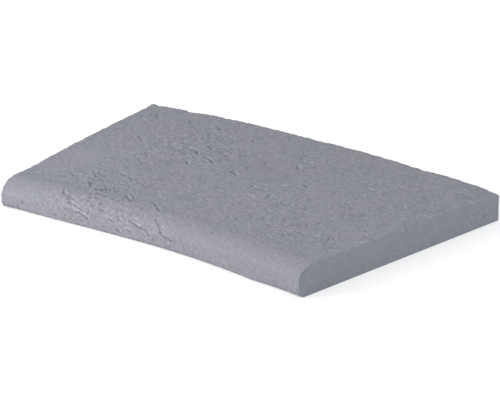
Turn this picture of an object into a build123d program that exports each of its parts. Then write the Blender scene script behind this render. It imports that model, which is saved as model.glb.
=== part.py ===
from build123d import *
from math import cos, exp, pi, radians, sin
import os

# A curved pool coping stone, cast in one piece. Millimetres, +Z up. The bed lies on Z = 0, the
# nose faces the pool at -Y, and the origin is the middle of the stone's box at the bed.

# Plan: a slice of a ring whose centre is the centre of the pool's curve
nose_radius = 1462.0  # pool centre to the nose's face
depth = 312.0  # nose to back, along a radius
span_angle = 15.8  # between the two end faces, in degrees

# Section of the nose
toe_radius = 7.0  # under the nose
brow_width = 30.0  # the brow over the nose is a quarter of an ellipse
brow_height = 20.0
brow_top = 35.2

# Riven top
field_height = 33.0  # the flat of the top
crest_rise = 1.2  # a crest runs along the nose, level up to here and falling softly behind
crest_place = 26.5  # from the nose's face
crest_reach = 9.0
swell_height = 0.5  # long swells behind the crest
swell_length = 150.0
swell_width = 210.0
back_fall = 1.3  # the top sinks towards the back
back_fall_width = 90.0
corner_wear = 2.6  # one back corner is worn lower
corner_wear_reach = 60.0

# Hewn back arris: a row of lobes with notches between them
lobe_count = 15
notch_depth = 1.2
lobe_drift = 0.9  # how unevenly the notches are spaced, in radians of the row
arris_width = 7.0
arris_fall = 1.0

# Grid of the skin's surface
skin_margin = 7.0  # the skin overhangs the stone by this, so that it cuts clean
skin_lead = 13.0  # from the nose's face to the skin's first row, where it runs above the brow
rows_across = 34
points_a_lobe = 6
skin_headroom = 12.0

back_radius = nose_radius + depth
half_span = radians(span_angle) / 2
middle_radius = nose_radius + depth / 2
front_corner_y = nose_radius * cos(half_span)
pool_centre_y = -(front_corner_y + back_radius) / 2

os.makedirs("parts", exist_ok=True)


def ease(share):
    """0 before the start, 1 after the end, and a smooth rise between."""
    share = min(max(share, 0.0), 1.0)
    return share * share * (3 - 2 * share)


def skin_height(along, across):
    """Height of the riven top: along the stone from its middle, across it from the nose's face."""
    past_crest = max(across - crest_place, 0.0) / crest_reach
    crest = crest_rise * exp(-(past_crest**2))
    swell = sin(2 * pi * along / swell_length + 0.6) * cos(2 * pi * across / swell_width)
    behind = ease(past_crest / 4)
    fall = back_fall * ease((across - depth + back_fall_width) / back_fall_width)
    to_corner = (along - half_span * middle_radius) ** 2 + (across - depth) ** 2
    wear = corner_wear * exp(-to_corner / corner_wear_reach**2)
    return field_height + crest + swell_height * swell * behind - fall - wear


def arris_drop(angle, across):
    """How far the hewn arris falls below the skin beside the back face."""
    turn = pi * lobe_count * (angle + half_span) / (2 * half_span)
    lobe = abs(sin(turn + lobe_drift * sin(turn * 0.37)))
    beside = ease((across - depth + arris_width) / arris_width)
    return beside * (arris_fall + notch_depth * (1 - lobe))


def skin_point(angle, across):
    """A point of the riven top, in the stone's frame."""
    radius = nose_radius + across
    height = skin_height(angle * middle_radius, across) - arris_drop(angle, across)
    return (radius * sin(angle), pool_centre_y + radius * cos(angle), height)


def skin_rows():
    """Rows of points from the nose to the back, closer together at the crest and the arris."""
    half_skin = half_span + skin_margin / nose_radius
    columns = lobe_count * points_a_lobe
    angles = [half_skin * (2 * i / columns - 1) for i in range(columns + 1)]
    first, last = skin_lead, depth + skin_margin
    shares = [(1 - cos(pi * j / rows_across)) / 2 for j in range(rows_across + 1)]
    return [[skin_point(a, first + (last - first) * s) for a in angles] for s in shares]


# The section at the left end: radius from the pool's centre, and height
left_end = Plane(
    origin=(0, pool_centre_y, 0),
    x_dir=(-sin(half_span), cos(half_span), 0),
    z_dir=(cos(half_span), sin(half_span), 0),
)
pool_axis = Axis((0, pool_centre_y, 0), (0, 0, -1))
toe_centre = (nose_radius + toe_radius, toe_radius)
brow_centre = (nose_radius + brow_width, brow_top - brow_height)

with BuildPart() as coping_stone:
    with BuildSketch(left_end) as section:
        with BuildLine() as outline:
            toe = CenterArc(toe_centre, toe_radius, 270, -90)
            brow = EllipticalCenterArc(brow_centre, brow_width, brow_height, 180, arc_size=-90)
            Line(toe @ 1, brow @ 0)
            Polyline(brow @ 1, (back_radius, brow_top), (back_radius, 0), toe @ 0)
        make_face()
    revolve(axis=pool_axis, revolution_arc=span_angle)

    # The riven skin and the hewn arris are one surface, and what stands above it is taken off
    skin = Face.make_surface_from_array_of_points(skin_rows(), tol=0.02, min_deg=3, max_deg=5)
    extrude(skin, amount=skin_headroom, dir=(0, 0, 1), mode=Mode.SUBTRACT)

coping_stone.part.label = "coping_stone"
export_step(coping_stone.part, "parts/coping_stone.step")
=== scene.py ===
import math

import bpy
import numpy as np
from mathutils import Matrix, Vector
from mathutils.geometry import delaunay_2d_cdt


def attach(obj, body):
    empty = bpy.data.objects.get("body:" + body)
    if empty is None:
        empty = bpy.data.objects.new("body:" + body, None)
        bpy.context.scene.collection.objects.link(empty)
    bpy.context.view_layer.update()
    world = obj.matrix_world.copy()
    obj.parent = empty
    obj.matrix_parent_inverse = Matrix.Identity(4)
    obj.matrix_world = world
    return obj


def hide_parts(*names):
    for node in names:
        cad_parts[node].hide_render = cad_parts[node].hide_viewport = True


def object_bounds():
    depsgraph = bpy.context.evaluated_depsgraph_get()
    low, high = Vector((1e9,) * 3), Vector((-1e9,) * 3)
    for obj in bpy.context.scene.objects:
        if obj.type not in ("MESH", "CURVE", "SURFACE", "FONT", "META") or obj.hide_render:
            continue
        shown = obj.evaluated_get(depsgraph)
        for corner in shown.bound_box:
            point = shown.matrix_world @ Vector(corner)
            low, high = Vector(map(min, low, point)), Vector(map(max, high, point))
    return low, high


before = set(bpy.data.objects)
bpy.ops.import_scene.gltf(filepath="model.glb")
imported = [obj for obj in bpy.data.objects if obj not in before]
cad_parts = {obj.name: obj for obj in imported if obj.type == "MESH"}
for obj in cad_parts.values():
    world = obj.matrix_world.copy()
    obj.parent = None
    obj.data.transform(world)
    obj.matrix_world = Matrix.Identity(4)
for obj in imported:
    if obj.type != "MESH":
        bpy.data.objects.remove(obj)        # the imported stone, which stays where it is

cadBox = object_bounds()
print("frame loaded, box", [round(v, 4) for v in (*cadBox[0], *cadBox[1])])

# Lengths in this file are millimetres unless a line says otherwise, and the mesh is scaled as it is made
mm = 0.001

stone = {
    "node": "coping_stone",
    "body": "root",
    "slot": "cast_stone",
    "noseRadius": 1462.0,        # pool centre to the solid's face, from which across is measured
    "depth": 312.0,              # nose to back, along a radius
    "spanAngle": 15.8,           # degrees between the end faces
    "crestPlace": (28.0, 26.5),  # across, where the brow ends, at the left end and at the right end
    "browHeight": (19.0, 14.0),  # of the quarter ellipse over the nose, likewise
    "crestTop": 33.25,           # the crest behind the nose, before the relief
    "crestMiddle": 27.0,
    "crestReach": 9.0,
    "fieldTop": 32.6,            # the flat of the top
    "foremost": 0.02,            # nothing stands in front of this
    "highest": 34.2,             # nothing stands above this
    "arrisRadius": 1.6,          # worn edge at the back
    "backCorners": (1.5, 4.8),   # radius of the upright corners at the back, left and right
    "cornerFade": 5.0,           # how many radii in front of the back they begin
}

# How fine the mesh is
grid = {
    "pitch": 1.32,                         # over the brow and the top, both ways
    "besideEnds": (0.0, 0.25, 0.6, 1.2),   # places of the close columns at the two ends
    "evenFrom": 2.0,                       # from here on the columns are even
    "toeRows": 5,
    "faceRows": 8,
    "browArc": 33.0,                       # length of the brow, for its rows
    "arrisRows": 3,
    "backRows": 12,
    "endLayers": 12,                       # down the two end faces
    "firstLayer": 0.02,                    # share of the way down of one more layer, for a crisp edge
    "sharpAngle": 62,                      # degrees
}

backRadius = stone["noseRadius"] + stone["depth"]
middleRadius = stone["noseRadius"] + stone["depth"] / 2
halfSpan = math.radians(stone["spanAngle"]) / 2
halfLength = halfSpan * middleRadius
poolCentreY = cadBox[1].y / mm - backRadius

# The nose isn't quite even along the stone
nose = {
    "back": [                    # along, and how far the face lies behind the solid's
        (-223, 1.0), (-190, 2.2), (-60, 2.0), (20, 2.6), (110, 2.0), (150, 1.6), (195, 2.6), (223, 2.4),
    ],
    "toe": [                     # along, and radius of the toe
        (-223, 10.0), (-208, 10.0), (-190, 7.0), (-150, 5.0), (-110, 5.0), (-30, 6.0), (26, 7.2),
        (110, 6.2), (150, 4.5), (195, 7.0), (223, 7.5),
    ],
    "flare": 2.9,                # the left end leans out by this at the nose
    "flareReach": (16.0, 36.0),  # along and across
    "turnRun": 8.0,              # from the crest down, the skin turns from top to nose over this
}


# The photograph's camera, which also tells where a mark seen in it lies on the stone

photo = {
    "eye": (1.47945, -1.87818, 0.93256),      # metres
    "aim": (-0.00547, 0.02604, 0.0),
    "lens": 168.84,
    "sensor": 36.0,
    "frame": (500, 400),
    "clip": (0.05, 50.0),                     # metres
}


def toPhoto(points):
    # pixels of the photograph, for points in mm
    eye, aim = np.array(photo["eye"]) / mm, np.array(photo["aim"]) / mm
    ahead = (aim - eye) / np.linalg.norm(aim - eye)
    right = np.cross(ahead, (0, 0, 1))
    right /= np.linalg.norm(right)
    ray = points - eye
    reach = photo["lens"] / photo["sensor"] * photo["frame"][0] / (ray @ ahead)
    px = photo["frame"][0] / 2 + reach * (ray @ right)
    py = photo["frame"][1] / 2 - reach * (ray @ np.cross(right, ahead))
    return np.stack([px, py], -1)


# Noise over the skin

def ease(x):
    x = np.clip(x, 0.0, 1.0)
    return x * x * (3 - 2 * x)


def lattice(ix, iy, seed):
    # one fixed random number from 0 to 1 for each lattice cell
    n = (ix.astype(np.int64) * 374761393 + iy.astype(np.int64) * 668265263 + seed * 974634777) & 0x7FFFFFFF
    n = ((n ^ (n >> 13)) * 1274126177) & 0x7FFFFFFF
    n = ((n ^ (n >> 15)) * 2246822519) & 0x7FFFFFFF
    return ((n ^ (n >> 16)) & 0xFFFFFF) / 0xFFFFFF


def softNoise(x, y, cell, seed):
    # gradient noise, about -1 to 1
    gx, gy = x / cell, y / cell
    ix, iy = np.floor(gx), np.floor(gy)
    fx, fy = gx - ix, gy - iy

    def corner(dx, dy):
        turn = lattice(ix + dx, iy + dy, seed) * 2 * math.pi
        return np.cos(turn) * (fx - dx) + np.sin(turn) * (fy - dy)

    wx, wy = fx ** 3 * (fx * (fx * 6 - 15) + 10), fy ** 3 * (fy * (fy * 6 - 15) + 10)
    low = corner(0, 0) * (1 - wx) + corner(1, 0) * wx
    high = corner(0, 1) * (1 - wx) + corner(1, 1) * wx
    return (low * (1 - wy) + high * wy) * 1.5


def turned(along, over, degrees, stretch):
    # coordinates along and across one direction, the first one squeezed
    c, s = math.cos(math.radians(degrees)), math.sin(math.radians(degrees))
    return (along * c + over * s) / stretch, over * c - along * s


def stops(along, pairs):
    # a value given at some places along the stone
    places, values = zip(*pairs)
    return np.interp(along, places, values)


def spot(along, over, place, reach):
    # 1 at a place, fading out around it
    return np.exp(-((along - place[0]) / reach[0]) ** 2 - ((over - place[1]) / reach[1]) ** 2)


# The section of the stone, from the foot of the toe over the nose and the top to the foot of the back

topForms = {
    "swells": [(95, 0.25, 3), (42, 0.12, 5)],          # cell, height and seed
    "swellsFrom": (22, 25),                            # across, where they set in, and over what length
    "swellPlace": (900, 300),                          # which stretch of the noise they are
    "backFall": (227, 1.2),                            # from here on the top sinks to the back by this
    "bumps": [                                         # along and across, reach both ways, and height
        ((243, 30), (60, 12), 0.35), ((225, 68), (9, 11), 0.9), ((222, 106), (22, 14), 0.7),
        ((222, 182), (16, 11), 0.6), ((230, 87), (90, 60), 0.35), ((-222, 306), (6, 7), 0.9),
        ((-120, 287), (70, 60), 0.45), ((172, 302), (30, 30), 0.3),
        ((-200, 302), (30, 30), -0.6), ((-8, 308), (26, 26), -0.5), ((118, 308), (24, 26), -0.7),
        ((222, 292), (22, 44), -1.8), ((222, 314), (9, 12), -0.9), ((-222, 155), (14, 60), 0.8),
    ],
}

hewnArris = {
    "width": 8.5,              # the hewn edge along the back
    "waver": (0.4, 24, 61),    # share by which the width wavers, cell and seed
    "fall": 0.5,
    "paintedShade": 0.2,               # painted shade: how much darker it is made, for each mm that it falls
    "run": (3.0, 13.0),        # a lobe drops fast into a notch and climbs slowly out of it
    "runPower": 1.5,           # 1 makes sharp notches, 2 round ones
    "notches": [               # along and depth
        (-219, 1.2), (-177, 1.9), (-133, 0.8), (-74, 0.4), (-55, 0.3), (-36, 0.7), (-14, 0.7), (22, 0.8),
        (53, 0.4), (72, 0.6), (96, 0.5), (107, 0.8), (123, 1.4), (140, 0.9), (159, 1.0), (174, 1.2),
        (207, 0.4),
    ],
}


def sectionRows():
    # each row is a part of the section and a share of that part
    topRun = stone["depth"] - stone["crestPlace"][0] - stone["arrisRadius"]
    counts = {
        "toe": grid["toeRows"],
        "face": grid["faceRows"],
        "brow": round(grid["browArc"] / grid["pitch"]),
        "top": round(topRun / grid["pitch"]),
        "arris": grid["arrisRows"],
        "back": grid["backRows"],
    }
    return [(part, i / count) for part, count in counts.items() for i in range(count)] + [("back", 1.0)]


def arrisDrop(along, across):
    # the hewn edge: a row of lobes with notches between them
    before, after = hewnArris["run"]
    notch = along * 0
    for place, depth in hewnArris["notches"]:
        off = along - place
        fade = (np.abs(off) / np.where(off < 0, before, after)) ** hewnArris["runPower"]
        notch = np.maximum(notch, depth * np.exp(-fade))
    waver, cell, seed = hewnArris["waver"]
    width = hewnArris["width"] * (1 + waver * softNoise(along, across * 0, cell, seed))
    return (hewnArris["fall"] + notch) * ease((across - stone["depth"] + width) / width)


def topHeight(along, across):
    # the top before its relief
    crest = stone["crestTop"] - stone["fieldTop"]
    crest = crest * np.exp(-(((across - stone["crestMiddle"]) / stone["crestReach"]) ** 2))
    height = stone["fieldTop"] + crest - arrisDrop(along, across)
    start, run = topForms["swellsFrom"]
    behind = ease((across - start) / run)
    shift = topForms["swellPlace"]
    for cell, rise, seed in topForms["swells"]:
        height = height + rise * softNoise(along + shift[0], across + shift[1], cell, seed) * behind
    start, fall = topForms["backFall"]
    height = height - fall * ease((across - start) / (stone["depth"] - start))
    for place, reach, rise in topForms["bumps"]:
        height = height + rise * spot(along, across, place, reach)
    return height


def sectionPoint(part, share, along):
    # across, height, and the direction the surface faces
    share = np.full_like(along, share)
    side = ease((along + halfLength) / (2 * halfLength))
    crestAcross = stone["crestPlace"][0] * (1 - side) + stone["crestPlace"][1] * side
    browHeight = stone["browHeight"][0] * (1 - side) + stone["browHeight"][1] * side
    browFoot = topHeight(along, crestAcross) - browHeight
    face, toe = stops(along, nose["back"]), stops(along, nose["toe"])
    depth, arris = stone["depth"], stone["arrisRadius"]
    turn = share * math.pi / 2
    if part == "toe":
        return face + toe * (1 - np.sin(turn)), toe * (1 - np.cos(turn)), -np.sin(turn), -np.cos(turn)
    if part == "face":
        return face, toe + (browFoot - toe) * share, share * 0 - 1, share * 0
    if part == "brow":
        browWidth = crestAcross - face
        faceBack, faceUp = -np.cos(turn) / browWidth, np.sin(turn) / browHeight
        size = np.hypot(faceBack, faceUp)
        across, height = face + browWidth * (1 - np.cos(turn)), browFoot + browHeight * np.sin(turn)
        return across, height, faceBack / size, faceUp / size
    if part == "top":
        across = crestAcross + (depth - arris - crestAcross) * share
        return across, topHeight(along, across), share * 0, share * 0 + 1
    backTop = topHeight(along, along * 0 + depth - arris) - arris
    if part == "arris":
        across = depth - arris + arris * np.sin(turn)
        return across, backTop + arris * np.cos(turn), np.sin(turn), np.cos(turn)
    return share * 0 + depth, backTop * (1 - share), share * 0 + 1, share * 0


# The relief. Its places are along the stone and over the skin. over is the distance from the crest of
# the nose, towards the back or, negative, down the nose

relief = {
    "broad": [(34, 0.14, 11), (14, 0.12, 12)],         # cell, height and seed
    "grainTurn": -55,                                  # degrees, the way the grain is drawn out
    "grainStretch": 1.5,
    "grain": [(5.0, 0.18, 13), (3.2, 0.26, 14), (2.2, 0.34, 15)],
    "grainMost": 1.5,                                  # roughness past this adds no more grain
    "grainWearAndShade": 0.5,                                  # how much the grain shows in the colour, as dust and painted shade in its hollows and as wear and painted highlight on its crests
    "noseGrain": 1.1,                                  # how much stronger the grain is down the nose
    "rivenTurn": -30,                                  # degrees, the way the ridges of rough places run
    "rivenStretch": 2.4,
    "rivenBend": (1.2, 9, 21),                         # how far they wander, cell and seed
    "rivenFrom": (0.8, 1.2),                           # roughness where they set in, and what more counts
    "riven": [(4.4, 0.32, 16), (2.7, 0.24, 17)],
    "crease": (9.0, 0.35, 0.16, 31),                   # cell, depth, width as noise, and seed
    "creaseWhere": (26, 2.2, 32),                      # where they are: cell, contrast and seed
    "creaseRough": (0.6, 1.6),                         # what roughness adds to them, and its most
    "sunk": 0.30,                                      # the skin's mean lies this far below the section
    "peak": (0.6, 3),                                  # what stands above the first is divided by the second
    "footRun": 4.0,                                    # over this it sets in from the foot of the toe
    "backRun": 32.0,                                   # over this height it dies out down the back
    "smoothest": 0.15,                                 # the least roughness
}

# How rough the skin is, from place to place: along and over, reach both ways, and what is added to 1
roughPlaces = [
    ((-105, 175), (70, 60), 0.9), ((-115, 25), (48, 26), 1.0), ((-90, -25), (60, 16), 0.5),
    ((-10, -20), (40, 16), 0.3), ((145, 45), (40, 30), 0.4), ((60, 60), (60, 40), 0.2),
    ((170, 150), (60, 60), 0.2), ((90, 210), (120, 60), 0.1), ((150, -25), (130, 17), -0.75),
    ((-190, 100), (40, 60), -0.25),
]

# The shape of a mark
mark = {
    "stray": [(0.5, 3.1, 71), (0.4, 2.9, 72)],   # how far its line strays along and over, cell and seed
    "rim": 0.2,                                  # the raised rim beside it, as a share of its depth
    "rimPlace": 1.9,                             # in half widths
    "rimTight": 2.0,
    "reach": 4.0,                                # in half widths, past which nothing is carved
    "downNose": (-3, 0.85),                      # below this over, photo marks are narrower by this
}

scatter = {
    "seed": 7,
    "strokes": 1500,
    "pits": 900,
    "turn": (-28, 30),          # degrees: mean and spread of the way the strokes run
    "length": (2.5, 10),
    "bend": (-0.35, 0.35),
    "halfWidth": (0.7, 1.15),
    "depth": (0.15, 0.6),
    "strokeMost": 1.5,          # roughness past this makes no deeper strokes
    "pitReach": (0.8, 1.6),
    "pitDepth": (0.2, 0.8),
    "pitLength": 0.7,
    "pitMost": 1.4,
    "share": 0.13,              # of the tries that are kept where the roughness is 1
}

# Marks picked out in the photograph: half width and depth on the stone, and each mark's path in pixels
photoMarks = {
    "deepPits": (1.5, 1.0, [
        [(89, 181), (91, 183)], [(91, 184), (91, 185)], [(97, 188), (99, 190)], [(102, 189), (103, 191)],
        [(100, 194), (104, 195)], [(111, 186), (111, 186)], [(110, 188), (111, 189)],
        [(253, 182), (254, 183)], [(104, 157), (106, 158)], [(90, 193), (91, 194)],
    ]),
    "smallPits": (1.3, 0.65, [
        [(80, 221), (82, 222)], [(88, 223), (90, 224)], [(54, 214), (56, 216)], [(62, 219), (64, 220)],
        [(99, 190), (102, 191)], [(109, 191), (110, 192)], [(79, 179), (80, 180)], [(80, 188), (81, 188)],
        [(81, 200), (82, 201)], [(90, 197), (91, 198)], [(147, 148), (148, 148)],
        [(157, 146), (158, 147)], [(179, 150), (180, 150)], [(182, 150), (183, 150)],
        [(203, 117), (204, 117)], [(207, 116), (208, 117)], [(202, 137), (203, 138)],
        [(204, 156), (205, 157)], [(211, 161), (212, 163)], [(216, 161), (218, 162)],
        [(217, 173), (219, 175)], [(200, 177), (201, 178)], [(158, 215), (160, 216)],
        [(155, 189), (157, 190)], [(149, 130), (150, 130)], [(174, 138), (175, 139)],
        [(247, 167), (247, 168)], [(232, 199), (234, 200)], [(281, 230), (282, 231)],
        [(327, 160), (328, 161)], [(346, 167), (347, 167)], [(334, 195), (336, 195)],
        [(270, 161), (272, 161)], [(286, 160), (287, 161)], [(306, 225), (307, 226)],
        [(318, 228), (319, 229)], [(308, 200), (310, 201)], [(356, 198), (358, 199)],
        [(404, 179), (406, 181)], [(420, 190), (422, 191)],
    ]),
    "scores": (1.3, 1.05, [      # cut sharply
        [(64, 189), (64, 193), (67, 195), (71, 196)], [(67, 197), (72, 199)], [(68, 201), (71, 204)],
        [(75, 212), (78, 213)], [(79, 213), (84, 216), (87, 218), (87, 219)], [(109, 219), (112, 221)],
        [(117, 216), (118, 219), (119, 220)], [(129, 221), (134, 224), (138, 227), (142, 229)],
        [(144, 230), (147, 233)], [(147, 235), (149, 236)], [(116, 229), (119, 232)],
        [(155, 219), (157, 223)], [(158, 224), (159, 229), (160, 233)],
        [(160, 233), (163, 237), (172, 242)], [(127, 196), (129, 199), (132, 201)],
        [(152, 202), (155, 204)], [(157, 208), (160, 211)], [(122, 174), (125, 176)],
        [(129, 177), (132, 179)], [(143, 185), (147, 185)], [(97, 192), (101, 194)],
        [(95, 197), (99, 199)], [(191, 149), (195, 151), (198, 154)], [(206, 157), (212, 161)],
        [(221, 153), (226, 155), (231, 157)], [(231, 171), (236, 174)], [(251, 185), (254, 187)],
        [(196, 165), (203, 166)], [(186, 160), (188, 164)], [(218, 127), (220, 129), (222, 130)],
        [(208, 145), (211, 148)], [(304, 162), (308, 163), (311, 163)], [(297, 166), (298, 169)],
        [(304, 185), (307, 187)], [(282, 204), (286, 205), (292, 206)], [(362, 191), (367, 192)],
        [(346, 203), (347, 204)],
    ]),
    "strokes": (1.3, 0.6, [
        [(73, 204), (78, 208), (84, 212)], [(72, 211), (73, 216)], [(127, 230), (130, 231)],
        [(90, 203), (93, 206)], [(93, 171), (95, 173), (97, 177)], [(98, 172), (100, 175)],
        [(102, 174), (105, 176)], [(106, 169), (109, 170)], [(99, 164), (101, 165)],
        [(98, 185), (101, 186)], [(88, 200), (90, 202)], [(68, 181), (70, 181)],
        [(69, 171), (74, 175), (79, 179)], [(136, 181), (140, 182), (143, 185)], [(122, 184), (125, 185)],
        [(131, 195), (134, 199)], [(111, 197), (117, 198)], [(137, 205), (143, 208)],
        [(155, 204), (157, 207)], [(157, 187), (160, 188)], [(155, 162), (158, 163)],
        [(160, 165), (162, 165)], [(140, 161), (143, 163)], [(157, 179), (158, 180)],
        [(217, 137), (222, 137), (228, 137), (231, 138)], [(230, 132), (232, 133)],
        [(195, 138), (197, 140)], [(208, 137), (209, 138)], [(182, 142), (188, 145)],
        [(183, 146), (189, 150)], [(179, 153), (182, 153)], [(183, 158), (185, 159)],
        [(179, 160), (183, 162)], [(168, 163), (172, 166)], [(172, 168), (174, 168)],
        [(203, 160), (205, 162)], [(227, 158), (231, 160)], [(225, 174), (229, 174)],
        [(178, 183), (185, 184)], [(225, 182), (230, 183)], [(232, 203), (237, 204)],
        [(146, 151), (147, 156)], [(150, 147), (153, 150)], [(168, 145), (171, 147)],
        [(170, 137), (172, 138)], [(166, 160), (168, 160)], [(188, 119), (192, 123)],
        [(158, 113), (156, 118)], [(138, 136), (141, 139)], [(209, 135), (208, 132)],
        [(235, 218), (240, 220)], [(220, 220), (226, 222)], [(294, 212), (299, 214)],
        [(294, 219), (300, 220)], [(270, 194), (268, 196), (265, 199)], [(265, 162), (265, 165)],
        [(265, 166), (269, 167), (275, 169)], [(301, 157), (302, 160)],
        [(303, 156), (306, 155), (309, 157)], [(257, 188), (264, 190)], [(289, 190), (296, 191)],
        [(280, 186), (283, 187)], [(329, 165), (333, 166)], [(359, 163), (365, 165)],
        [(365, 172), (366, 174)], [(284, 218), (286, 220)], [(282, 234), (285, 237)],
        [(344, 187), (353, 190)], [(348, 218), (352, 219)], [(304, 209), (307, 210)],
        [(327, 242), (329, 238)], [(365, 230), (368, 232)], [(363, 235), (366, 236)],
        [(385, 187), (389, 187)], [(392, 206), (397, 207)], [(393, 203), (397, 205)],
        [(401, 209), (404, 210)], [(295, 231), (300, 233), (304, 234)],
        [(304, 235), (312, 237), (317, 238)], [(417, 203), (420, 204)], [(425, 210), (430, 211)],
        [(466, 196), (471, 197)], [(330, 246), (334, 248)],
    ]),
    "lips": (1.2, -0.42, [      # raised, not sunk, and paler in the colour, as wear and painted highlight
        [(66, 191), (68, 194)], [(73, 202), (76, 205), (80, 208)], [(72, 206), (77, 210), (83, 213)],
        [(77, 210), (79, 211)], [(81, 212), (85, 214), (88, 218)], [(90, 223), (92, 224)],
        [(110, 218), (113, 220)], [(120, 218), (123, 220)], [(130, 220), (135, 223)],
        [(135, 217), (138, 219), (140, 222)], [(137, 223), (139, 225)],
        [(145, 229), (148, 232), (151, 235)], [(118, 228), (119, 228)], [(121, 231), (122, 231)],
        [(123, 228), (130, 229)], [(130, 229), (132, 230)], [(162, 226), (166, 228)],
        [(90, 172), (92, 173)], [(96, 171), (97, 174)], [(98, 187), (100, 187)], [(101, 187), (104, 188)],
        [(88, 202), (90, 203)], [(93, 205), (95, 207)], [(81, 196), (84, 197)], [(85, 195), (88, 198)],
        [(83, 204), (86, 207)], [(122, 172), (128, 174)], [(132, 176), (135, 177)],
        [(137, 180), (141, 182)], [(129, 196), (131, 198)], [(191, 147), (199, 150)],
        [(180, 144), (185, 146)], [(177, 147), (182, 148)], [(187, 160), (189, 163)],
        [(199, 163), (204, 164)], [(207, 157), (214, 158)], [(225, 154), (233, 156)],
        [(236, 172), (238, 174)], [(254, 185), (256, 187)], [(159, 193), (162, 197), (165, 199)],
        [(240, 194), (248, 194), (253, 196), (255, 198)], [(213, 130), (218, 133), (225, 135)],
        [(144, 117), (148, 121)], [(304, 160), (308, 161), (312, 162)], [(301, 166), (302, 169)],
        [(277, 155), (280, 157)], [(306, 157), (308, 157)], [(281, 185), (288, 185)],
        [(307, 186), (312, 187)], [(285, 202), (287, 204)], [(289, 203), (294, 205)],
        [(273, 195), (276, 196)], [(286, 221), (289, 223)], [(315, 235), (320, 236)],
        [(349, 202), (351, 204)], [(360, 174), (363, 175)], [(363, 194), (366, 195)],
        [(369, 188), (374, 190)], [(360, 233), (366, 233), (368, 236)],
        [(352, 241), (358, 241), (365, 242)], [(405, 205), (406, 207)],
        [(424, 216), (428, 216), (432, 218)], [(459, 192), (466, 193), (470, 195)],
        [(463, 189), (468, 190)], [(469, 201), (474, 203)],
    ]),
}


def roughness(along, over):
    gain = along * 0 + 1
    for place, reach, more in roughPlaces:
        gain = gain + more * spot(along, over, place, reach)
    return np.maximum(gain, relief["smoothest"])


def downNose(over):
    # 0 on the top, 1 down the nose
    return ease(-over / nose["turnRun"])


def carve(lift, along, over, path, halfWidth, depth):
    # a groove along a path, with a low rim beside it
    path = np.array(path, float)
    margin = mark["reach"] * halfWidth
    low, high = path.min(0) - margin, path.max(0) + margin
    near = np.nonzero((along > low[0]) & (along < high[0]) & (over > low[1]) & (over < high[1]))
    x, y = along[near], over[near]
    strayX, strayY = (far * softNoise(x, y, cell, seed) for far, cell, seed in mark["stray"])
    x, y = x + strayX, y + strayY
    nearest = np.full(x.shape, np.inf)
    for start, end in zip(path[:-1], path[1:]):
        run, fromX, fromY = end - start, x - start[0], y - start[1]
        share = np.clip((fromX * run[0] + fromY * run[1]) / max(run @ run, 1e-6), 0, 1)
        nearest = np.minimum(nearest, np.hypot(fromX - share * run[0], fromY - share * run[1]))
    away = nearest / halfWidth
    rim = mark["rim"] * np.exp(-mark["rimTight"] * (away - mark["rimPlace"]) ** 2)
    lift[near] -= depth * (np.exp(-away ** 2) - rim)


def grainOf(along, over, rough):
    # the grain, the riven ridges of the rough places, and the creases
    strength = np.minimum(rough, relief["grainMost"]) * (1 + (relief["noseGrain"] - 1) * downNose(over))
    u, v = turned(along, over, relief["grainTurn"], relief["grainStretch"])
    grain = along * 0
    for cell, height, seed in relief["grain"]:
        grain = grain + height * strength * softNoise(u, v, cell, seed)

    u, v = turned(along, over, relief["rivenTurn"], relief["rivenStretch"])
    bend, cell, seed = relief["rivenBend"]
    u = u + bend * softNoise(along, over, cell, seed)
    v = v + bend * softNoise(along, over, cell, seed + 1)
    start, most = relief["rivenFrom"]
    for cell, height, seed in relief["riven"]:
        grain = grain + height * np.clip(rough - start, 0, most) * softNoise(u, v, cell, seed)

    cell, depth, width, seed = relief["crease"]
    crease = np.clip(width - np.abs(softNoise(u, v, cell, seed)), 0, 1) / width
    cell, contrast, seed = relief["creaseWhere"]
    gain, most = relief["creaseRough"]
    where = ease(softNoise(along, over, cell, seed) * contrast + (rough - 1) * gain)
    return grain - depth * crease * where * np.minimum(rough, most)


def carveScatter(lift, along, over, lowOver, highOver):
    # short strokes and pits, thrown anywhere and kept the more the rougher the skin is
    draw = np.random.default_rng(scatter["seed"])
    for i in range(scatter["strokes"] + scatter["pits"]):
        place = np.array([draw.uniform(-halfLength, halfLength), draw.uniform(lowOver, highOver)])
        turn = math.radians(draw.normal(*scatter["turn"]))
        length, bend = draw.uniform(*scatter["length"]), draw.uniform(*scatter["bend"])
        width, depth = draw.uniform(*scatter["halfWidth"]), draw.uniform(*scatter["depth"])
        pitReach, pitDepth = draw.uniform(*scatter["pitReach"]), draw.uniform(*scatter["pitDepth"])
        keep = draw.uniform()
        here = float(roughness(place[0], place[1]))
        if keep > scatter["share"] * here ** 2:
            continue
        way = np.array([math.cos(turn), math.sin(turn)])
        if i < scatter["strokes"]:
            step = way * length / 2
            side = np.array([-step[1], step[0]]) * bend
            path = [place - step, place + side, place + step]
            carve(lift, along, over, path, width, depth * min(here, scatter["strokeMost"]))
        else:
            path = [place, place + way * scatter["pitLength"]]
            carve(lift, along, over, path, pitReach, pitDepth * min(here, scatter["pitMost"]))


def skinPlace(pixel, pixels, along, over):
    # the place on the skin that a pixel of the photograph shows
    nearest = np.argmin(np.hypot(pixels[:, 0] - pixel[0], pixels[:, 1] - pixel[1]))
    return along[nearest], over[nearest]


def carvePhotoMarks(lift, along, over, points, seen):
    pixels = toPhoto(points[seen])
    alongSeen, overSeen = along[seen], over[seen]
    start, narrow = mark["downNose"]
    for halfWidth, depth, paths in photoMarks.values():
        for path in paths:
            places = [skinPlace(pixel, pixels, alongSeen, overSeen) for pixel in path]
            width = halfWidth * (narrow if places[0][1] < start else 1.0)
            carve(lift, along, over, places, width, depth)


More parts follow.
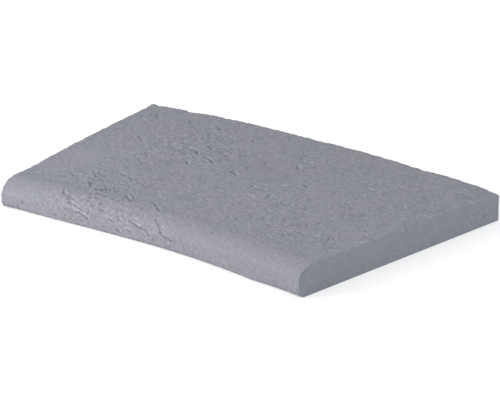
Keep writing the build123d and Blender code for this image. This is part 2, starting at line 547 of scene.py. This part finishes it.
def reliefOf(along, over, points, seen):
    # height of the relief above the section, and how much of it the colour shows: dust and painted shade
    # where it is sunk, wear and painted highlight where it stands up
    lift = along * 0
    for cell, height, seed in relief["broad"]:
        lift = lift + height * softNoise(along, over, cell, seed)
    grain = grainOf(along, over, roughness(along, over))
    marks = along * 0
    carveScatter(marks, along, over, over[seen].min(), over[seen].max())
    carvePhotoMarks(marks, along, over, points, seen)
    lift = lift + grain + marks - relief["sunk"]
    peak, press = relief["peak"]
    lift = np.where(lift > peak, peak + (lift - peak) / press, lift)
    return lift, relief["grainWearAndShade"] * grain + marks


def quarterRound(along, radius):
    # how far a round of this radius has fallen back beside the two end faces
    inside = np.clip(halfLength - np.abs(along), 0, radius)
    return radius - np.sqrt(radius ** 2 - (radius - inside) ** 2)


# The worn edge where the skin meets the two end faces
endWear = {
    "radius": (0.3, 1.9),      # least and most
    "share": 0.35,
    "uneven": [(17, 0.8, 81), (7, 0.8, 82)],   # cell, height and seed
}


def wornEnds(along, over):
    # how far the skin drops beside the two end faces, where it has crumbled in places
    worn = endWear["share"]
    for cell, height, seed in endWear["uneven"]:
        worn = worn + height * softNoise(over, along * 0, cell, seed)
    small, large = endWear["radius"]
    return quarterRound(along, small + (large - small) * ease(worn))


def flared(along, across):
    # the left end leans out beside the nose
    reach = nose["flareReach"]
    return along - nose["flare"] * ease(1 - (along + halfLength) / reach[0]) * ease(1 - across / reach[1])


def cornered(along, across):
    # the upright corners at the back are rounded off
    radius = np.where(along < 0, *stone["backCorners"])
    run = stone["cornerFade"] * radius
    return across - quarterRound(along, radius) * ease((across - stone["depth"] + run) / run)


ends = {
    "sunk": 0.10,              # the two end faces lie this far inside the solid's
    "broad": (9, 0.08, 41),    # cell, height and seed
    "fine": (4.5, 0.07, 42),
    "shift": 50,               # how far apart in the noise the two ends are
    "fade": (5, 6),            # how fast all that comes in below the rim, and dies out above the bed
    "pits": [                  # slits and pits of the two end faces: across, height, reach and depth
        (285, 10, 2.2, 1.1), (286, 22, 1.9, 0.9), (279, 26, 1.5, 0.6), (268, 19, 1.6, 0.5),
        (258, 15, 1.6, 0.4), (264, 23, 1.8, 0.5), (224, 24, 2.0, 0.5), (152, 25, 1.6, 0.4),
        (120, 27, 2.0, 0.5), (62, 20, 1.6, 0.3), (34, 18, 1.4, 0.3), (207, 10, 1.6, 0.3),
        (47, 29, 2.4, 0.8), (56, 30, 2.2, 0.7), (66, 29, 2.0, 0.6),
    ],
    "pitStretch": 2.0,         # how much longer than high they are
    "pitDustAndShade": (0.35, 0.8),    # deeper than this an end face is darker, by this for each mm, as dust and painted shade in its pits
    "uprightFrom": (2, 60),    # across, where the mesh's lines down an end turn upright, and over what run
    "upright": (0.3, 0.9),     # how upright they stand at the back, and in front of it
    "backRun": 80,             # length over which they go from one to the other
}


def endHollow(across, height, side):
    # how far the end face is sunk: a faint grain and a few pits
    cell, depth, seed = ends["broad"]
    hollow = ends["sunk"] + depth * softNoise(across + ends["shift"] * side, height, cell, seed)
    cell, depth, seed = ends["fine"]
    hollow = hollow + depth * softNoise(across, height, cell, seed + side)
    for place, level, reach, depth in ends["pits"]:
        place = place if side > 0 else stone["depth"] - place
        off = np.hypot((across - place) / ends["pitStretch"], height - level)
        hollow = hollow + depth * np.exp(-(off / reach) ** 2)
    return np.maximum(hollow, 0)


# The colours of the stone

def srgb(red, green, blue):
    # a colour as the eye picks it, 0 to 255, to linear light
    def linear(c):
        c = c / 255
        return c / 12.92 if c <= 0.04045 else ((c + 0.055) / 1.055) ** 2.4
    return (linear(red), linear(green), linear(blue), 1.0)


stoneFinish = {
    "cool": srgb(147, 152, 160),
    "warm": srgb(155, 153, 162),
    "pale": srgb(172, 173, 181),
    "dark": srgb(128, 130, 138),
    # pale, for wear and for painted highlight and light
    "worn": srgb(196, 196, 203),
    # dark, for dust and for painted shade
    "dustAndShade": srgb(96, 98, 106),
    "stains": [                # along and over, reach both ways, and how dark, or pale where negative
        ((2, 162), (40, 30), 0.14), ((-205, -14), (30, 16), 0.06), ((-140, -6), (60, 10), 0.05),
        ((-185, 90), (40, 60), -0.07), ((215, 283), (25, 30), 0.10),
    ],
    "toePaintedLight": (0.22, 6),      # painted light: how much paler the foot of the nose is made, where the floor shades it, and up to what height
    "endPaintedShade": (0.13, 70),    # painted shade: how much darker the two ends are made beside the nose, and how far back that reaches
    "noseWarmth": 0.18,        # added to the share of warm
    "endWarmth": -0.2,
    "roughness": 0.86,
    "specular": 0.25,
    "drift": (22.0, 3.0, 0.6),         # the noises: scale per metre, detail and roughness
    "mottle": (70.0, 2.0, 0.5),
    "speck": (330.0, 4.0, 0.75),
    "grain": (420.0, 3.0, 0.7),
    "sand": (1100.0, 2.0, 0.6),
    "warmShare": 0.55,                 # between cool and warm, before the patches
    "patches": (2.2, 1.5),             # how far drift and mottle push that share
    "calmPatches": 0.6,                # how much of it a calm place loses
    "darkMottle": (2.5, 0.5),          # contrast and share
    "calmMottle": 0.5,
    "specks": (4.0, 0.6),              # contrast and share, of the pale ones and the dark ones
    "hollowRange": (-1, 2),            # mm, past which a mark counts no more
    "wearAndHighlightShare": 1.2,                  # wear and painted highlight, for each mm that a mark stands up
    "dustAndShadeShare": 0.5,                  # dust and painted shade, for each mm that it is sunk
    "bumpMix": (0.7, 0.3),             # of grain and sand
    "bumpStrength": 0.8,
    "bumpDepth": 0.0014,               # metres
}


def skinShades(along, across, over, height, marks, onBack):
    # how hollow the skin is in its colour, positive for dust and painted shade and negative for wear and
    # painted light, how calm its colour is, and how warm
    # painted shade along the falling back edge, added to the marks' dust and painted shade
    hollow = -marks + np.where(onBack, 0, hewnArris["paintedShade"] * arrisDrop(along, across))
    # painted light: the foot of the nose is made paler where the floor shades it
    pale, reach = stoneFinish["toePaintedLight"]
    hollow -= pale * ease(1 - height / reach) * (over < 0)
    for middle, reach, dark in stoneFinish["stains"]:
        hollow += dark * spot(along, over, middle, reach)
    # the moulded nose is warmer than the top, the back is cooler, and both are less patchy
    down = downNose(over)
    warmth = down * stoneFinish["noseWarmth"] + onBack * stoneFinish["endWarmth"]
    return np.clip(hollow, *stoneFinish["hollowRange"]), np.maximum(down, onBack), warmth


def endShades(points, sunk):
    # the same for the two end faces, which are calm and cool
    across = np.hypot(points[:, 0], points[:, 1] - poolCentreY) - stone["noseRadius"]
    # painted shade on the two ends beside the nose
    dark, reach = stoneFinish["endPaintedShade"]
    # dust and painted shade in the pits of the two ends
    pitFrom, pitDustAndShade = ends["pitDustAndShade"]
    hollow = dark * np.exp(-(across / reach) ** 2) + pitDustAndShade * np.maximum(sunk - pitFrom, 0)
    return hollow, np.ones(len(sunk)), np.full(len(sunk), stoneFinish["endWarmth"])


# The mesh

def columnsAlong():
    # close columns at the two ends, and even ones between
    beside = np.array(grid["besideEnds"])
    reach = halfLength - grid["evenFrom"]
    even = np.linspace(-reach, reach, round(2 * reach / grid["pitch"]))
    return np.concatenate([beside - halfLength, even, (halfLength - beside)[::-1]])


def stonePoint(along, across, height):
    # a point in the frame, in mm
    radius = stone["noseRadius"] + cornered(along, across)
    angle = flared(along, across) / middleRadius
    return np.stack([radius * np.sin(angle), poolCentreY + radius * np.cos(angle), height], -1)


def makeSkin():
    # the skin from the foot of the toe to the foot of the back, in rows by columns
    rows = sectionRows()
    parts = np.array([part for part, share in rows])
    columns = columnsAlong()
    across, height, faceBack, faceUp = (
        np.stack(lines) for lines in zip(*(sectionPoint(part, share, columns) for part, share in rows))
    )
    steps = np.hypot(np.diff(across, axis=0), np.diff(height, axis=0))
    over = np.concatenate([np.zeros((1, len(columns))), np.cumsum(steps, axis=0)])
    over = over - over[parts.tolist().index("top")]
    along = np.broadcast_to(columns, across.shape).copy()
    seen = np.broadcast_to(np.isin(parts, ("face", "brow", "top"))[:, None], across.shape)
    onBack = np.broadcast_to((parts == "back")[:, None], across.shape)

    lift, marks = reliefOf(along, over, stonePoint(along, across, height), seen)
    # the relief dies out at the foot of the toe and down the back, so that the bed stays flat
    share = ease((over - over[0]) / relief["footRun"]) * np.where(onBack, height / relief["backRun"], 1.0)
    lift = lift * share - wornEnds(along, over)
    across = np.clip(across + faceBack * lift, stone["foremost"], stone["depth"])
    height = np.clip(height + faceUp * lift, 0.0, stone["highest"])
    return along, across, over, height, marks * share, onBack


def footLine(rim):
    # across, where the lines down an end face reach the bed, one for each point of its rim
    front, back = rim[0], rim[-1]
    even = np.linspace(0, 1, len(rim))
    behind = np.maximum.accumulate(rim)
    straight = np.minimum((behind - front) / (back - front), 1)
    start, run = ends["uprightFrom"]
    low, high = ends["upright"]
    upright = ease((behind - start) / run) * (low + (high - low) * ease((back - behind) / ends["backRun"]))
    return front + (back - front) * (even + (straight - even) * upright)


def endLayers(rimAcross, rimHeight, side):
    # the layers of an end face, from just under its rim down to the bed, and how far each is sunk
    foot = footLine(rimAcross)
    outward = np.array([side * math.cos(halfSpan), -math.sin(halfSpan), 0])
    below, above = ends["fade"]
    for down in (grid["firstLayer"], *np.linspace(0, 1, grid["endLayers"])[1:]):
        across = (rimAcross + (foot - rimAcross) * down)[1:-1]
        height = (rimHeight * (1 - down))[1:-1]
        sunk = endHollow(across, height, side) * min(1, below * down) * ease(above * (1 - down))
        yield stonePoint(side * halfLength, across, height) - outward * sunk[:, None], sunk


def cells(index):
    # a quad for each cell of a grid of vertices
    return np.stack([index[:-1, :-1], index[:-1, 1:], index[1:, 1:], index[1:, :-1]], -1).reshape(-1, 4)


def bedFaces(points, outline):
    # triangles between the points of the bed's outline, facing down
    corners = [Vector(point) for point in points[outline, :2].tolist()]
    insideOnly, tolerance = 1, 1e-5
    filled = delaunay_2d_cdt(corners, [], [list(range(len(corners)))], insideOnly, tolerance)
    triangles, origins = filled[2], filled[3]
    return [[int(outline[origins[corner][0]]) for corner in reversed(face)] for face in triangles]


def sharpenRims(mesh, index):
    # a crisp line where the skin meets the two end faces
    mesh.set_sharp_from_angle(angle=math.radians(grid["sharpAngle"]))
    corners = np.zeros(2 * len(mesh.edges), np.int32)
    mesh.edges.foreach_get("vertices", corners)
    sharp = np.zeros(len(mesh.edges), bool)
    mesh.edges.foreach_get("use_edge_sharp", sharp)
    for column in (0, -1):
        sharp |= np.isin(corners.reshape(-1, 2), index[:, column]).all(1)
    mesh.edges.foreach_set("use_edge_sharp", sharp)


def buildStone():
    along, across, over, height, marks, onBack = makeSkin()
    print("skin made,", across.shape[0], "rows by", across.shape[1], "columns")
    index = np.arange(across.size).reshape(across.shape)
    points = [stonePoint(along, across, height).reshape(-1, 3)]
    quads, bedEdges, endSunk = [cells(index)], [], []
    total = across.size
    for column, side in ((0, -1), (-1, 1)):
        rim = index[:, column]
        sheet = [rim]
        for line, sunk in endLayers(across[:, column], height[:, column], side):
            points.append(line)
            endSunk.append(sunk)
            sheet.append(np.concatenate([rim[:1], np.arange(total, total + len(line)), rim[-1:]]))
            total += len(line)
        bedEdges.append(sheet[-1][1:-1])
        # the two ends are seen from opposite sides, so one goes round the other way
        quads.append(cells(np.array(sheet))[:, ::-side])
    points = np.concatenate(points)

    # where two corners of a quad are the same vertex, a triangle is left
    faces = [list(dict.fromkeys(quad)) for quad in np.concatenate(quads).tolist()]
    faces = [face for face in faces if len(face) > 2]
    faces += bedFaces(points, np.concatenate([index[0], bedEdges[1], index[-1][::-1], bedEdges[0][::-1]]))
    mesh = bpy.data.meshes.new("copingStone")
    mesh.from_pydata((points * mm).tolist(), [], faces)

    onSkin = skinShades(along, across, over, height, marks, onBack)
    onEnds = endShades(points[across.size:], np.concatenate(endSunk))
    for name, skinValues, endValues in zip(("hollow", "calm", "warmth"), onSkin, onEnds):
        values = np.concatenate([skinValues.ravel(), endValues])
        mesh.attributes.new(name, "FLOAT", "POINT").data.foreach_set("value", values)
    mesh.validate()
    mesh.shade_smooth()
    sharpenRims(mesh, index)
    piece = bpy.data.objects.new("copingStone", mesh)
    bpy.context.scene.collection.objects.link(piece)
    triangles = sum(len(polygon.vertices) - 2 for polygon in mesh.polygons)
    print("stone built,", len(mesh.polygons), "faces,", triangles, "triangles")
    return piece


# Shader maths: an expression on sockets adds its Math nodes

class Socket:
    def __init__(self, tree, link):
        self.tree, self.link = tree, link

    def maths(self, operation, *others):
        node = self.tree.nodes.new("ShaderNodeMath")
        node.operation = operation
        for slotInput, value in zip(node.inputs, (self, *others)):
            if isinstance(value, Socket):
                self.tree.links.new(value.link, slotInput)
            else:
                slotInput.default_value = value
        return Socket(self.tree, node.outputs[0])

    def __add__(self, other):
        return self.maths("ADD", other)

    __radd__ = __add__

    def __mul__(self, other):
        return self.maths("MULTIPLY", other)

    __rmul__ = __mul__

    def __sub__(self, other):
        return self.maths("SUBTRACT", other)

    def __rsub__(self, other):
        return (self * -1.0) + other

    def clamp(self):
        return self.maths("MINIMUM", 1.0).maths("MAXIMUM", 0.0)


class Nodes:
    def __init__(self, tree):
        self.tree = tree
        self.tree.nodes.clear()

    def add(self, kind, settings=None, sockets=None, out=0):
        made = self.tree.nodes.new("ShaderNode" + kind)
        for name, value in (settings or {}).items():
            setattr(made, name, value)
        for name, value in (sockets or {}).items():
            if isinstance(value, Socket):
                self.tree.links.new(value.link, made.inputs[name])
            else:
                made.inputs[name].default_value = value
        return Socket(self.tree, made.outputs[out]) if made.outputs else None

    def blend(self, share, low, high):
        # a Mix node has its colours at inputs 6 and 7 and its mixed colour at output 2
        return self.add("Mix", {"data_type": "RGBA"}, {0: share, 6: low, 7: high}, out=2)


def newMaterial(name):
    material = bpy.data.materials.new(name)
    material.use_nodes = True
    return material, Nodes(material.node_tree)


def stoneMaterial():
    look = stoneFinish
    material, nodes = newMaterial("castStone")
    place = nodes.add("TexCoord", out="Object")

    def noise(name):
        scale, detail, roughness = look[name]
        sockets = {"Vector": place, "Scale": scale, "Detail": detail, "Roughness": roughness}
        return nodes.add("TexNoise", None, sockets)

    def painted(name):
        return nodes.add("Attribute", {"attribute_name": name}, out="Fac")

    mottle, speck = noise("mottle"), noise("speck")
    hollow, calm = painted("hollow"), painted("calm")
    driftPush, mottlePush = look["patches"]
    patches = (noise("drift") - 0.5) * driftPush + (mottle - 0.5) * mottlePush
    warm = patches * (1 - calm * look["calmPatches"]) + painted("warmth") + look["warmShare"]
    base = nodes.blend(warm.clamp(), look["cool"], look["warm"])
    contrast, most = look["darkMottle"]
    darker = (0.5 - mottle) * contrast * (1 - calm * look["calmMottle"])
    base = nodes.blend(darker.clamp() * most, base, look["dark"])
    contrast, most = look["specks"]
    base = nodes.blend(((speck - 0.5) * contrast).clamp() * most, base, look["pale"])
    base = nodes.blend(((0.5 - speck) * contrast).clamp() * most, base, look["dark"])
    # paler where the skin stands up, as wear and painted highlight and light
    base = nodes.blend((hollow * -look["wearAndHighlightShare"]).clamp(), base, look["worn"])
    # darker where it is sunk, as dust and painted shade
    base = nodes.blend((hollow * look["dustAndShadeShare"]).clamp(), base, look["dustAndShade"])
    grainShare, sandShare = look["bumpMix"]
    bump = nodes.add("Bump", None, {
        "Strength": look["bumpStrength"],
        "Distance": look["bumpDepth"],
        "Height": noise("grain") * grainShare + noise("sand") * sandShare,
    })
    bsdf = nodes.add("BsdfPrincipled", None, {
        "Base Color": base,
        "Roughness": look["roughness"],
        "Specular IOR Level": look["specular"],
        "Normal": bump,
    })
    nodes.add("OutputMaterial", None, {"Surface": bsdf})
    print("finish of the cast stone made")
    return material


piece = buildStone()
piece.data.materials.append(stoneMaterial())
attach(piece, stone["body"])
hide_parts(stone["node"])


# Studio: pale floor, soft light from the front left and the right, and the photograph's camera

studio = {
    "skyStrength": 0.82,
    "keyPlace": (-0.74, -1.28, 0.62),          # metres, as all of the studio
    "lampAim": (-0.05, -0.05, 0.02),
    "keySize": 0.5,
    "keyPower": 13.7,
    "keyColour": (1.0, 0.985, 0.985),
    "fillPlace": (2.3, 0.6, 0.45),
    "fillSize": 1.4,
    "fillPower": 10.7,
    "fillColour": (0.93, 0.985, 1.0),
    "floorSize": 8.0,
    "floorDrop": 0.0002,                       # keeps the floor clear of the bed
    "floorColour": (0.82, 0.82, 0.82, 1),      # what the stone sees
    "floorSeen": (0.8, 0.8, 0.8, 1),           # what the camera sees
    "floorGlow": 0.45,
}


def buildFloor():
    half = studio["floorSize"] / 2
    corners = [(-half, -half, 0), (half, -half, 0), (half, half, 0), (-half, half, 0)]
    mesh = bpy.data.meshes.new("floor")
    mesh.from_pydata(corners, [], [(0, 1, 2, 3)])
    floor = bpy.data.objects.new("floor", mesh)
    bpy.context.scene.collection.objects.link(floor)
    floor.location.z = -studio["floorDrop"]
    material, nodes = newMaterial("paleFloor")
    camera = nodes.add("LightPath", out="Is Camera Ray")
    lit = nodes.add("BsdfDiffuse", None, {"Color": studio["floorColour"]})
    white = nodes.add("BsdfDiffuse", None, {"Color": studio["floorSeen"]})
    glow = nodes.add("Emission", None, {"Strength": studio["floorGlow"]})
    seen = nodes.add("AddShader", None, {0: white, 1: glow})
    surface = nodes.add("MixShader", None, {0: camera, 1: lit, 2: seen})
    nodes.add("OutputMaterial", None, {"Surface": surface})
    mesh.materials.append(material)


def buildLights():
    world = bpy.data.worlds.new("studioSky")
    bpy.context.scene.world = world
    world.use_nodes = True
    nodes = Nodes(world.node_tree)
    # what is seen, also in gloss or through glass, is white, and the rest is the soft sky
    seen = nodes.add("LightPath", out="Is Camera Ray")
    for ray in ("Is Glossy Ray", "Is Transmission Ray"):
        seen = seen + nodes.add("LightPath", out=ray)
    soft = nodes.add("Background", None, {"Strength": studio["skyStrength"]})
    white = nodes.add("Background", None, {"Strength": 1.0})
    surface = nodes.add("MixShader", None, {0: seen.clamp(), 1: soft, 2: white})
    nodes.add("OutputWorld", None, {"Surface": surface})

    for name in ("key", "fill"):
        lamp = bpy.data.lights.new(name + "Lamp", "AREA")
        lamp.shape = "DISK"
        lamp.size = studio[name + "Size"]
        lamp.energy = studio[name + "Power"]
        lamp.color = studio[name + "Colour"]
        holder = bpy.data.objects.new(name + "Lamp", lamp)
        holder.location = studio[name + "Place"]
        holder.rotation_mode = "QUATERNION"
        aim = Vector(studio["lampAim"]) - holder.location
        holder.rotation_quaternion = aim.to_track_quat("-Z", "Y")
        bpy.context.scene.collection.objects.link(holder)


def buildCamera():
    data = bpy.data.cameras.new("photoCamera")
    data.sensor_width = photo["sensor"]
    data.lens = photo["lens"]
    data.clip_start, data.clip_end = photo["clip"]
    camera = bpy.data.objects.new("photoCamera", data)
    camera.location = photo["eye"]
    camera.rotation_mode = "QUATERNION"
    camera.rotation_quaternion = (Vector(photo["aim"]) - camera.location).to_track_quat("-Z", "Y")
    bpy.context.scene.collection.objects.link(camera)
    bpy.context.scene.camera = camera


buildFloor()
buildLights()
buildCamera()
bpy.context.scene.view_settings.view_transform = "Standard"
print("studio ready")
